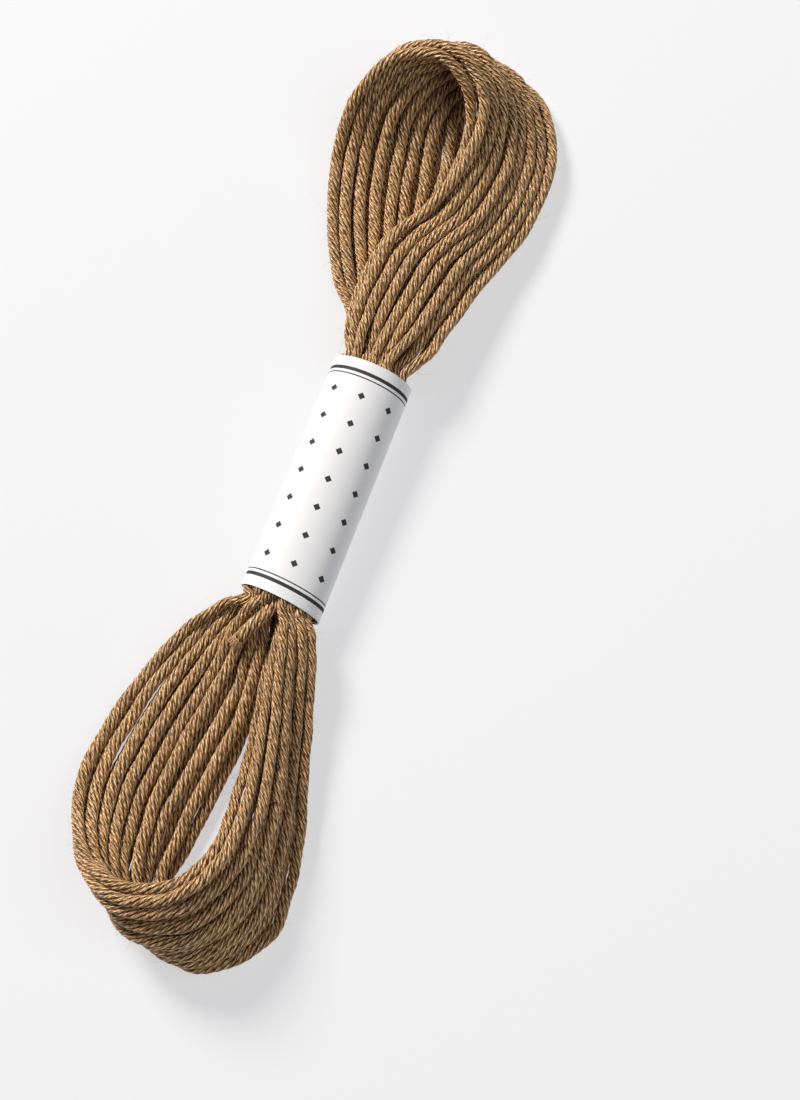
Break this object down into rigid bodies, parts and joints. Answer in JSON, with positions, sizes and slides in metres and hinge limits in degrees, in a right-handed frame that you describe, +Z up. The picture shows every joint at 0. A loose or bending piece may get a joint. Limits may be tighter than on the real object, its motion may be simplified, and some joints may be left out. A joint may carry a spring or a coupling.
{
  "type": "skein of embroidery floss",
  "caption": "Hank of plied embroidery yarn, pinched at its middle by a plain paper band and opening into a loop at each end.",
  "frame": {"origin": "under the middle of the skein, on the surface that it lies on", "axes": "+Y along the paper band towards the upper loop, whose legs cross; +Z up from the surface"},
  "size_m": [0.0373, 0.1494, 0.015],
  "materials": {
    "yarn": "plied spun yarn with a soft sheen",
    "paper": "smooth uncoated"
  },
  "bodies": {
    "root": {"hank": "yarn", "band": "paper", "loose_end": "yarn"}
  },
  "joints": []
}
